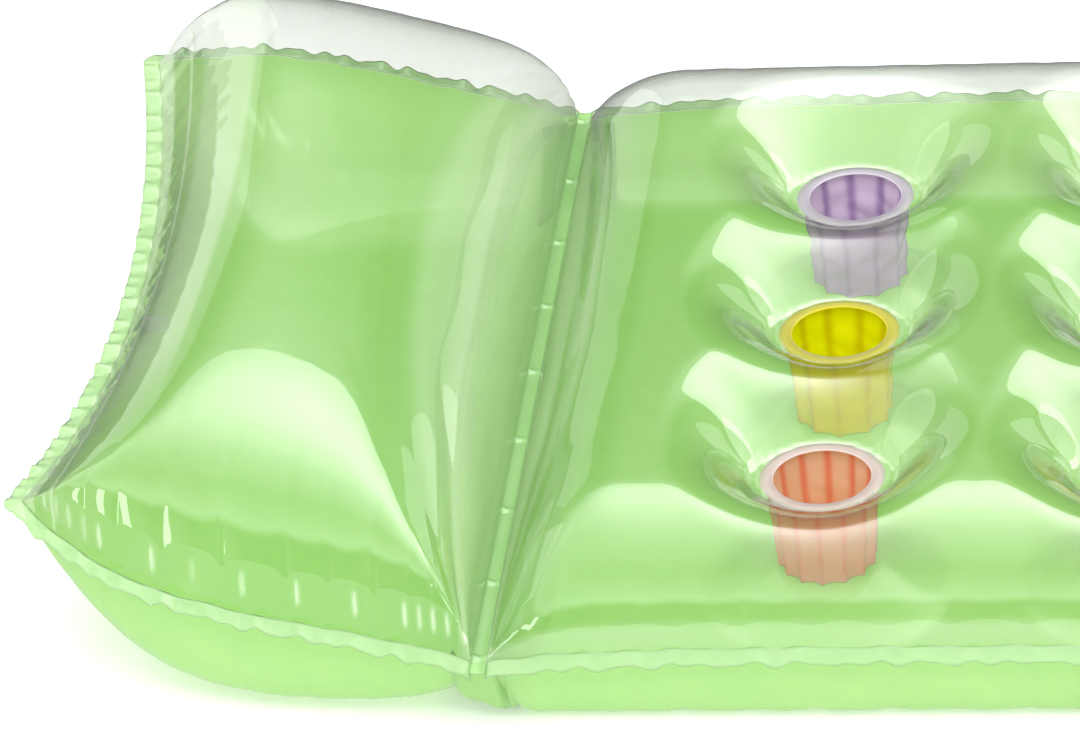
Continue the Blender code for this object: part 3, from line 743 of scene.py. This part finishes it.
def film_material(name, tint, body, body_share, gloss, roughness, edge_tint=None, through=0.5,
                  light_body=None):
    """Vinyl film: light passes tinted, some scatters in it, and it shines.

    Where a vertex value asks for it, it is mixed with a pale colour: painted highlights and
    reflections on its creases, seams, bands and bellies, and an even paleness on the gathered
    film. With a second body colour, its colour runs from body, in painted shade, to that colour,
    a painted highlight, by a vertex value of painted light and shade.
    """
    material, nodes, links = new_material(name)
    bump, noise = bump_from_noise(nodes, links, 14, 0.10, 0.002)
    clear = tinted_pass(nodes, links, tint, edge_tint or tint)
    front = coloured(nodes, "ShaderNodeBsdfDiffuse", body)
    back = coloured(nodes, "ShaderNodeBsdfTranslucent", body)
    # On cup walls the colour runs from the painted shade colour to the painted highlight colour,
    # by a vertex value of painted light and shade
    if light_body:
        tone = nodes.new("ShaderNodeMix")
        tone.data_type = "RGBA"
        tone.inputs["A"].default_value = (*body, 1)
        tone.inputs["B"].default_value = (*light_body, 1)
        links.new(value_of(nodes, "tone"), tone.inputs["Factor"])
        links.new(tone.outputs["Result"], front.inputs["Color"])
        links.new(tone.outputs["Result"], back.inputs["Color"])
    scatter = mixed_shaders(nodes, links, through, front.outputs[0], back.outputs[0])
    least_body, most_body = body_share * (1 - BODY_VARIATION), body_share * (1 + BODY_VARIATION)
    share = map_range(nodes, links, noise.outputs["Fac"], 0.3, 0.7, least_body, most_body)
    film = mixed_shaders(nodes, links, share, clear, scatter)
    # Pale milk by a vertex value: painted highlights and reflections, and the gathered film's
    # even milkiness
    milk_and_highlight_shader = coloured(nodes, "ShaderNodeBsdfDiffuse", MILK_AND_HIGHLIGHT).outputs[0]
    with_milk_and_highlight = mixed_shaders(nodes, links, value_of(nodes, "milk_and_highlight"), film, milk_and_highlight_shader)
    shine = nodes.new("ShaderNodeBsdfGlossy")
    shine.inputs["Roughness"].default_value = roughness
    links.new(bump.outputs[0], shine.inputs["Normal"])
    share = gloss_share(nodes, links, gloss, bump.outputs[0])
    final = mixed_shaders(nodes, links, share, with_milk_and_highlight, shine.outputs[0])
    out = nodes.new("ShaderNodeOutputMaterial")
    links.new(final, out.inputs["Surface"])
    return material


CLEAR = film_material("clear_vinyl", (0.91, 0.92, 0.905), (0.72, 0.75, 0.72), 0.03, 2.0, 0.03,
                      (0.37, 0.39, 0.355))
GREEN = film_material("green_vinyl", (0.45, 0.78, 0.22), (0.40, 0.72, 0.195), 0.78, 0.7, 0.12,
                      through=0.30)
WELD = film_material("weld_vinyl", (0.60, 0.84, 0.44), (0.56, 0.80, 0.40), 0.50, 1.2, 0.12,
                     through=0.30)
RIBBON = film_material("seam_vinyl", (0.66, 0.88, 0.54), (0.58, 0.75, 0.46), 0.60, 1.3, 0.12,
                       through=0.40)
VALVE = film_material("valve_vinyl", (0.975, 0.985, 0.965), (0.85, 0.92, 0.80), 0.16, 0.8, 0.15)
# Colours of a cup: what passes through it, its painted shade (in creases, deep down and under the
# rim), its painted highlight (on the panels) and its rim
CUP_COLOURS = {
    "purple": ((0.76, 0.58, 0.86), (0.48, 0.28, 0.60), (0.95, 0.80, 1.0), (0.97, 0.93, 0.99)),
    "yellow": ((0.97, 0.90, 0.20), (0.80, 0.62, 0.0), (1.0, 0.97, 0.0), (0.95, 0.86, 0.05)),
    "red": ((0.98, 0.66, 0.56), (1.0, 0.28, 0.20), (1.0, 0.76, 0.60), (1.0, 0.95, 0.94)),
}
# Cup walls: painted shade in creases, deep down and under the rim, painted highlights on the
# panels
CUP_WALLS = {
    colour: film_material(colour + "_vinyl", tint, shade_colour, 0.72, 1.1, 0.18, light_body=light)
    for colour, (tint, shade_colour, light, _) in CUP_COLOURS.items()
}
CUP_RIMS = {
    colour: film_material(colour + "_rim", tint, rim, 0.92, 0.8, 0.30)
    for colour, (tint, _, _, rim) in CUP_COLOURS.items()
}


# Seam ribbons
def thick_strip(name, points, columns, rows, material):
    """A grid of points as a film with its real thickness."""
    piece = add_piece(name, points, grid_faces(columns, rows), [material])
    solid = piece.modifiers.new("film", "SOLIDIFY")
    solid.thickness = RIBBON_THICKNESS
    solid.offset = 0
    return piece


def ribbon(name, line, outward, side_tilt, ruffle, ruffle_length, seed, material):
    """A welded margin, ruffled along its free edge. line is the air line's points."""
    line, outward = np.array(line), np.array(outward)
    steps = np.linalg.norm(np.diff(line, axis=0), axis=1)
    along = np.concatenate([[0], np.cumsum(steps)])
    shares = np.linspace(0, 1, 6)
    wave = wobble(along, (ruffle_length, ruffle_length * 1.37, ruffle_length * 0.71), seed)
    points = []
    for share in shares:
        lift = ruffle * share * wave - SEAM_MARGIN * share * np.sin(side_tilt)
        reach = SEAM_MARGIN * share * np.cos(side_tilt)
        flat = line + outward * reach[:, None]
        flat[:, 2] += lift
        points.append(flat)
    points = np.stack(points, 1).reshape(-1, 3)
    return thick_strip(name, points, len(line), len(shares), material)


def main_ribbon_path():
    """The main chamber's air line from the fold's near end round the foot to its far end."""
    xs = np.arange(MAIN_START_X, FOOT_X, RIBBON_STEP)
    ys = np.arange(-HALF_WIDTH, HALF_WIDTH, RIBBON_STEP)
    line, outward, tilt = [], [], []

    def put(x, y, direction, droop):
        px, py = main_plan(np.array(x), np.array(y))
        z = main_seam_z(x) + side_wave(np.array(x), np.array(y))
        line.append((float(px), float(py), float(z)))
        outward.append((math.cos(direction), math.sin(direction), 0))
        tilt.append(droop)

    for x in xs:
        put(x, -HALF_WIDTH, -math.pi / 2, 0.55)
    for k in range(RIBBON_CORNER + 1):
        put(FOOT_X, -HALF_WIDTH, -math.pi / 2 * (1 - k / RIBBON_CORNER), 0.3)
    for y in ys:
        put(FOOT_X, y, 0.0, 0.15)
    for k in range(RIBBON_CORNER + 1):
        put(FOOT_X, HALF_WIDTH, math.pi / 2 * k / RIBBON_CORNER, 0.0)
    for x in xs[::-1]:
        put(x, HALF_WIDTH, math.pi / 2, 0.0)
    return line, outward, np.array(tilt)


def pillow_ribbon_path():
    """The pillow's air line from the fold's near end round the head to its far end."""
    line, outward, tilt = [], [], []

    def put(length, width, direction, droop):
        length, width = np.array(float(length)), np.array(float(width))
        x, y = pillow_plan(length, width)
        z = pillow_seam_z(length, width) + pillow_wave(length, width)
        line.append((float(x), float(y), float(z)))
        outward.append((math.cos(direction), math.sin(direction), 0))
        tilt.append(droop)

    for length in np.linspace(0, 1, 130):
        put(length, -1, -math.pi / 2 - HEAD_CORNER_TURN * length ** 4, 0.55 - 0.4 * length)
    corner = math.pi / 2 - HEAD_CORNER_TURN
    for k in range(1, RIBBON_CORNER):
        put(1, -1, -math.pi / 2 - HEAD_CORNER_TURN - corner * k / RIBBON_CORNER, 0.1)
    for width in np.linspace(-1, 1, 280):
        put(1, width, math.pi, 0.05)
    for k in range(1, RIBBON_CORNER):
        put(1, 1, math.pi - corner * k / RIBBON_CORNER, 0.0)
    for length in np.linspace(1, 0, 130):
        put(length, 1, math.pi / 2 + HEAD_CORNER_TURN * length ** 4, 0.0)
    return line, outward, np.array(tilt)


def fold_weld(material):
    """The welded line between the chambers, with a small pinch every so often."""
    ys = np.arange(-HALF_WIDTH - SEAM_MARGIN, HALF_WIDTH + SEAM_MARGIN, 0.0015)
    half = FOLD_EDGE + FOLD_MARGIN
    points = []
    for y in ys:
        from_pinch = (y + 0.04) % PINCH_GAP - PINCH_GAP / 2
        pinch = PINCH_HEIGHT * math.exp(-from_pinch ** 2 / PINCH_WIDTH ** 2)
        for share in np.linspace(-1, 1, WELD_COLUMNS):
            z = FOLD_Z + 0.0010 * share * share - 0.0010 + pinch * (0.4 + abs(share))
            points.append((FOLD_X + share * half, y, z))
    return thick_strip("fold_weld", points, len(ys), WELD_COLUMNS, material)


def fold_gusset(name, side, material):
    """The green film gathered under one end of the fold, between the two bellies."""
    points = []
    for u in np.linspace(0, 1, GUSSET_COLUMNS):
        x = FOLD_X + GUSSET_LEFT + (GUSSET_RIGHT - GUSSET_LEFT) * u
        edge_width = BELLY_EDGE_WIDTH + 0.020 * (1 - u) ** 2
        foot = 0.0015 + 0.010 * (1 - u) ** 1.5
        for v in np.linspace(0, 1, GUSSET_LEVELS):
            z = FOLD_Z - 0.0012 + (foot + 0.0012 - FOLD_Z) * v
            in_y = edge_width * (1 - math.sqrt(1 - v * v))
            slit = GUSSET_SLIT * math.exp(-((u - 0.80 - 0.05 * v) / 0.045) ** 2)
            pleat = GUSSET_PLEAT * math.cos(11 * u + 1.5 * v) * v
            in_y += (slit + pleat) * max(math.sin(math.pi * v), 0) ** 0.6
            in_y += (0.022 * (1 - smooth(u, 0, 0.35)) + 0.005 * smooth(u, 0.85, 1)) * (0.3 + v)
            points.append((x, side * (HALF_WIDTH - 0.0004 - in_y), z))
    piece = thick_strip(name, points, GUSSET_COLUMNS, GUSSET_LEVELS, material)
    set_values(piece, "milk_and_highlight", np.full(len(points), GUSSET_HAZE))
    return piece


# Cups
CUP_AROUND = 168
CUP_LEVELS = 36
# How many creases each colour's wall has, and how deep it is crumpled
CUP_CREASES = {"purple": (11, 0.0022), "yellow": (11, 0.0015), "red": (14, 0.0006)}
FLUTE_TOP_DEPTH = 0.0009
FLUTE_FLOOR_DEPTH = 0.0036
WELD_ANGLE = math.radians(262)
WELD_HEIGHT = 0.0005


def cup_folds(angle, share, creases, seed):
    """How far an angle is from the wall's creases, and how crumpled it is there, 0 to 1."""
    jitter = 0.35 * np.sin(angle * 2 + seed) + 0.2 * np.sin(angle * 3 + 2 * seed)
    fold = np.abs(np.sin((creases * angle + jitter) / 2 + 0.4 * seed)) ** 0.6
    crumple = np.abs(np.sin(3 * angle + 9 * share + seed)) * np.abs(np.cos(2 * angle - 7 * share))
    return fold, crumple


def cup_radius(angle, share, creases, wrinkle, seed):
    """The wall's radius at an angle. share runs from 0 under the rim to 1 at the floor."""
    base = CUP_TOP_RADIUS + (CUP_FLOOR_RADIUS - CUP_TOP_RADIUS) * share
    fold, crumple = cup_folds(angle, share, creases, seed)
    depth = FLUTE_TOP_DEPTH + FLUTE_FLOOR_DEPTH * share ** 1.2
    return base - depth * fold - wrinkle * crumple * np.sin(math.pi * share)


def inner_tone(angle, share, creases, seed):
    """Painted light and shade inside the wall: painted shade in its creases and down in the cup,
    painted highlight on its panels and near its top.
    """
    fold, _ = cup_folds(angle, share, creases, seed)
    return smooth(fold, 0.30, 0.92) * (1 - 0.60 * share) + 0.15 * (1 - share)


def outer_tone(angle, share, creases, seed):
    """Painted light and shade outside the wall: painted shade under the rim and in its creases,
    painted highlights lower down and on its crumples.
    """
    fold, crumple = cup_folds(angle, share, creases, seed)
    creased = 0.55 + 0.45 * smooth(fold, 0.2, 0.8)
    return (0.55 + 0.65 * smooth(share, 0.15, 0.60)) * creased + 0.25 * crumple * share


def cup_points(name, seed):
    """Rings of a closed cup shell: inner floor, inner wall, rim, outer wall, outer floor."""
    colour = name.split("_")[-1]
    creases, wrinkle = CUP_CREASES[colour]
    angle = np.arange(CUP_AROUND) * math.tau / CUP_AROUND
    top = CUP_RIM_Z - FILM - GAP
    under = top - CUP_FLANGE_THICKNESS
    floor = CUP_FLOOR_Z + CUP_WALL
    weld = WELD_HEIGHT * np.exp(-((angle - WELD_ANGLE) / 0.03) ** 2)

    def wall(share, offset):
        radius = cup_radius(angle, share, creases, wrinkle, seed) + offset
        z = under + (floor - under) * share
        tone = outer_tone if np.any(offset) else inner_tone
        return radius, np.full_like(angle, z), tone(angle, share, creases, seed)

    rings = []
    # Inner floor: painted shade, darker towards its middle
    for share in (0.12, 0.5, 0.85):
        radius, z, tone = wall(1.0, 0)
        rings.append((radius * share, z + 0.0008 * (1 - share), tone * share))
    levels = 1 - np.linspace(0, 1, CUP_LEVELS) ** 1.2
    rings += [wall(share, 0) for share in levels]
    flange = [(CUP_HOLE_RADIUS, under), (CUP_HOLE_RADIUS, top), (CUP_FLANGE_RADIUS - 0.004, top),
              (CUP_FLANGE_RADIUS, top), (CUP_FLANGE_RADIUS, under)]
    rim_start = len(rings)
    rings += [(np.full_like(angle, r), np.full_like(angle, z), angle * 0 + 1) for r, z in flange]
    rim_end = len(rings)
    rings += [wall(share, CUP_WALL + weld) for share in levels[::-1]]
    radius, z, tone = wall(1.0, CUP_WALL)
    rings += [(radius * share, z * 0 + CUP_FLOOR_Z, tone) for share in (1.0, 0.6, 0.2)]
    points = [np.stack([r * np.cos(angle), r * np.sin(angle), z], 1) for r, z, _ in rings]
    tones = np.concatenate([tone for _, _, tone in rings])
    return np.concatenate(points), tones, len(rings), (rim_start, rim_end)


def pocket_cup(name, seed):
    colour = name.split("_")[-1]
    points, tones, count, (rim_start, rim_end) = cup_points(name, seed)
    centre = CUP_PLACES[name]
    faces, finish = [], []
    for ring in range(count - 1):
        a, b = ring * CUP_AROUND, (ring + 1) * CUP_AROUND
        for k in range(CUP_AROUND):
            n = (k + 1) % CUP_AROUND
            faces.append((a + k, b + k, b + n, a + n))
            finish.append(1 if rim_start <= ring < rim_end - 1 else 0)
    faces.append(tuple(range(CUP_AROUND)))
    last = (count - 1) * CUP_AROUND
    faces.append(tuple(last + k for k in reversed(range(CUP_AROUND))))
    finish += [0, 0]
    materials = [CUP_WALLS[colour], CUP_RIMS[colour]]
    cup = add_piece(name + "_shell", points, faces, materials, finish)
    # Painted light and shade of the cup, for its wall material
    set_values(cup, "tone", np.clip(tones, 0, 1))
    cup.location = (centre[0], centre[1], 0)
    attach(cup, "main_chamber")
    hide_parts(name)


# Studio
# What shines back from the sky at each height, and across the overhead soft box
SKY_STOPS = ((0.0, 0.14), (0.46, 0.12), (0.53, 0.60), (0.585, 1.6), (0.66, 2.2))
OVERHEAD_STOPS = ((0.30, 0.0), (0.55, 0.35), (0.80, 1.0), (0.90, 0.95), (0.999, 0.62))


def area_light(name, place, target, size, power, shows="both"):
    """A soft box. shows says what it lights: "both", "shine" or "body"."""
    light = bpy.data.lights.new(name, "AREA")
    light.shape = "RECTANGLE"
    light.size, light.size_y = size
    light.energy = power
    lamp = bpy.data.objects.new(name, light)
    lamp.location = place
    lamp.rotation_euler = (Vector(target) - Vector(place)).to_track_quat("-Z", "Y").to_euler()
    lamp.visible_diffuse = shows != "shine"
    lamp.visible_glossy = shows != "body"
    lamp.visible_camera = False
    bpy.context.scene.collection.objects.link(lamp)
    return lamp


def grey_stops(stops, table):
    """Sets a colour ramp's stops. Its last one, at 1.0, stays white."""
    for number, (place, grey) in enumerate(table):
        stop = stops[0] if number == 0 else stops.new(place)
        stop.position = place
        stop.color = (grey, grey, grey, 1)


def lit_floor():
    """A pale floor that glows a little, so that shadows on it stay faint."""
    bpy.ops.mesh.primitive_plane_add(size=24)
    floor = bpy.context.object
    floor.name = "floor"
    floor.location.z = -0.0005
    material, nodes, links = new_material("floor")
    paint = nodes.new("ShaderNodeBsdfDiffuse")
    paint.inputs["Color"].default_value = (0.80, 0.80, 0.80, 1)
    glow = nodes.new("ShaderNodeEmission")
    glow.inputs["Strength"].default_value = 0.30
    both = nodes.new("ShaderNodeAddShader")
    # What the films reflect of the floor: a glow, brighter towards -Y and dimmer towards +Y
    dim = nodes.new("ShaderNodeEmission")
    place = nodes.new("ShaderNodeTexCoord")
    split = nodes.new("ShaderNodeSeparateXYZ")
    links.new(place.outputs["Object"], split.inputs[0])
    links.new(map_range(nodes, links, split.outputs["Y"], -0.3, 0.3, 0.95, 0.34),
              dim.inputs["Strength"])
    path = nodes.new("ShaderNodeLightPath")
    either = nodes.new("ShaderNodeMixShader")
    out = nodes.new("ShaderNodeOutputMaterial")
    links.new(paint.outputs[0], both.inputs[0])
    links.new(glow.outputs[0], both.inputs[1])
    links.new(path.outputs["Is Glossy Ray"], either.inputs["Fac"])
    links.new(both.outputs[0], either.inputs[1])
    links.new(dim.outputs[0], either.inputs[2])
    links.new(either.outputs[0], out.inputs["Surface"])
    floor.data.materials.append(material)


def sky():
    """An even surround for body light. What shines back is dim low down, but not at the sides."""
    world = bpy.data.worlds.new("studio")
    bpy.context.scene.world = world
    world.use_nodes = True
    nodes, links = world.node_tree.nodes, world.node_tree.links
    path = nodes.new("ShaderNodeLightPath")
    place = nodes.new("ShaderNodeTexCoord")
    split = nodes.new("ShaderNodeSeparateXYZ")
    ramp = nodes.new("ShaderNodeValToRGB")
    grey_stops(ramp.color_ramp.elements, SKY_STOPS)
    mix = nodes.new("ShaderNodeMix")
    mix.data_type = "RGBA"
    links.new(place.outputs["Generated"], split.inputs[0])
    links.new(map_range(nodes, links, split.outputs["Y"], -1, 1, 1.10, 0.70), mix.inputs["A"])
    links.new(split.outputs["Z"], ramp.inputs["Fac"])
    sideways = math_node(nodes, links, "ABSOLUTE", split.outputs["X"])
    sideways = map_range(nodes, links, sideways, 0.25, 0.65, 0.0, 0.75)
    low_down = map_range(nodes, links, split.outputs["Z"], 0.45, 0.58, 1.0, 0.0)
    glow = math_node(nodes, links, "MULTIPLY", sideways, low_down)
    links.new(math_node(nodes, links, "ADD", ramp.outputs["Color"], glow), mix.inputs["B"])
    links.new(path.outputs["Is Glossy Ray"], mix.inputs["Factor"])
    links.new(mix.outputs["Result"], nodes["Background"].inputs["Color"])


def fade_across(lamp):
    """Makes a soft box brightest a little in from its +Y edge, and dimmer towards -Y and -X."""
    light = lamp.data
    light.use_nodes = True
    nodes, links = light.node_tree.nodes, light.node_tree.links
    place = nodes.new("ShaderNodeNewGeometry")
    split = nodes.new("ShaderNodeSeparateXYZ")
    fade = nodes.new("ShaderNodeValToRGB")
    grey_stops(fade.color_ramp.elements, OVERHEAD_STOPS)
    links.new(place.outputs["Parametric"], split.inputs[0])
    links.new(split.outputs["Y"], fade.inputs["Fac"])
    across = map_range(nodes, links, split.outputs["X"], 0.20, 0.46, 0.10, 1)
    both = math_node(nodes, links, "MULTIPLY", fade.outputs["Color"], across)
    links.new(both, nodes["Emission"].inputs["Strength"])


# Name, place, target, size, power and what each soft box lights
LAMPS = (
    ("far_left", (-2.3, 3.3, 0.95), (-0.4, 0, 0.1), (1.5, 1.8), 6, "shine"),
    ("far_right", (2.6, 3.3, 0.95), (-0.4, 0, 0.1), (1.3, 1.6), 8, "shine"),
    ("left", (-3.3, 1.0, 1.3), (-0.6, 0, 0.1), (2.2, 1.7), 16, "shine"),
    ("right", (2.9, 1.0, 1.3), (-0.3, 0, 0.1), (2.2, 1.7), 27, "shine"),
    ("near_left", (-2.6, -2.3, 0.9), (-0.6, -0.2, 0.1), (0.5, 1.7), 14, "shine"),
    ("near_right", (2.3, -2.6, 0.9), (-0.4, -0.2, 0.1), (0.5, 1.7), 24, "shine"),
    ("front", (-0.3, -1.5, 3.1), (0.0, 0, 0), (3.0, 2.0), 104, "body"),
)


def studio():
    lit_floor()
    box = area_light("overhead", (0.0, 0.10, 2.1), (0.0, 0.10, 0), (6.0, 4.6), 450, "shine")
    fade_across(box)
    for lamp in LAMPS:
        area_light(*lamp)
    sky()


CAMERA_AZIMUTH = -0.1515
CAMERA_ELEVATION = 0.5534
CAMERA_ROLL = -0.0921
CAMERA_DISTANCE = 4.2399
FOCAL_PIXELS = 6270
PHOTO_WIDTH = 1080


def camera():
    """The fitted camera, at the photograph's own viewing angle."""
    azimuth, elevation = CAMERA_AZIMUTH, CAMERA_ELEVATION
    forward = Vector((math.sin(azimuth) * math.cos(elevation),
                      math.cos(azimuth) * math.cos(elevation), -math.sin(elevation)))
    right = Vector((math.cos(azimuth), -math.sin(azimuth), 0))
    up = right.cross(forward)
    turned_right = math.cos(CAMERA_ROLL) * right + math.sin(CAMERA_ROLL) * up
    turned_up = -math.sin(CAMERA_ROLL) * right + math.cos(CAMERA_ROLL) * up
    target = Vector((FOLD_X + 0.0037, 0, 0.0579))
    data = bpy.data.cameras.new("camera")
    data.sensor_width = 36
    data.lens = FOCAL_PIXELS * data.sensor_width / PHOTO_WIDTH
    view = bpy.data.objects.new("camera", data)
    place = target - CAMERA_DISTANCE * forward
    columns = (turned_right, turned_up, -forward, place)
    view.matrix_world = Matrix([[column[row] for column in columns] for row in range(3)]
                               + [[0, 0, 0, 1]])
    bpy.context.scene.collection.objects.link(view)
    bpy.context.scene.camera = view


def settle(piece, body, slot, *nodes):
    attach(piece, body)
    if nodes:
        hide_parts(*nodes)


def films():
    top, base = main_top_film(CLEAR), main_bottom_film(GREEN)
    head_top = pillow_film("pillow_top_film", True, CLEAR)
    head_base = pillow_film("pillow_bottom_film", False, GREEN)
    settle(top, "main_chamber", "clear_film", *TOP_PANELS)
    settle(base, "main_chamber", "green_film", "main_bottom_sheet")
    settle(head_top, "pillow_chamber", "clear_film", "pillow_top_sheet")
    settle(head_base, "pillow_chamber", "green_film", "pillow_bottom_sheet")


def seams():
    line, outward, tilt = main_ribbon_path()
    margin = ribbon("main_seam_ribbon", line, outward, tilt, 0.0028, 0.027, 41, RIBBON)
    settle(margin, "main_chamber", "green_film")
    line, outward, tilt = pillow_ribbon_path()
    margin = ribbon("pillow_seam_ribbon", line, outward, tilt, 0.0032, 0.021, 42, RIBBON)
    settle(margin, "pillow_chamber", "green_film")
    weld = fold_weld(WELD)
    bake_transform(weld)
    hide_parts("fold_weld_strip")
    for end, side in (("near", -1), ("far", 1)):
        gusset = fold_gusset("fold_gusset_" + end, side, GREEN)
        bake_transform(gusset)


def valves():
    for name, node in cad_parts.items():
        if "_valve_" in name:
            node.data.materials.clear()
            node.data.materials.append(VALVE)


films()
seams()
for seed, cup_name in enumerate(CUP_NAMES):
    pocket_cup(cup_name, seed)
valves()
studio()
camera()

scene = bpy.context.scene
scene.view_settings.view_transform = "Standard"
scene.cycles.transparent_max_bounces = 24
scene.cycles.max_bounces = 8
